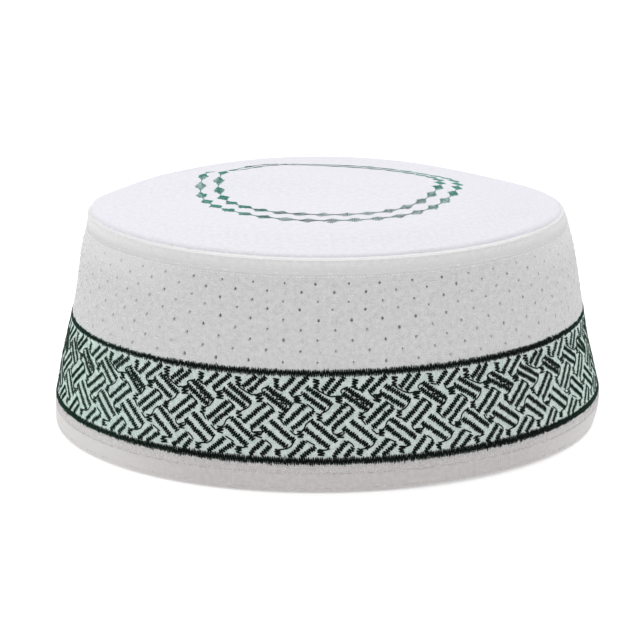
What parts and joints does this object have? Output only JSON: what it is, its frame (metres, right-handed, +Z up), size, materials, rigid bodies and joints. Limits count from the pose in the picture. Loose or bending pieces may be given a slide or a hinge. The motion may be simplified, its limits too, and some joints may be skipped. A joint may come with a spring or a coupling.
{
  "type": "embroidered cotton kufi",
  "caption": "Stiff white cotton kufi cap: oval side pierced with eyelets, green basketweave embroidery band, domed crown, folded hem to stand on.",
  "frame": {"origin": "middle of the cap's outline, on the surface that it stands on", "axes": "+X along the oval's long axis, -Y towards the front that the picture shows, +Z up"},
  "size_m": [0.2034, 0.1734, 0.0891],
  "materials": {
    "crown_cotton": "bright white cotton, close rows of stitching, slight satin",
    "side_cotton": "stiffened white cotton, matt, rough with small stitches",
    "hem_cotton": "folded white cotton, matt, top-stitched",
    "green_thread": "dark green embroidery thread in satin stitch, low sheen"
  },
  "bodies": {
    "root": {"crown_panel": "crown_cotton", "crown_edge_band": "side_cotton", "side_wall": "side_cotton", "upper_border": "green_thread", "lower_border": "green_thread", "rim_hem": "hem_cotton"}
  },
  "joints": []
}
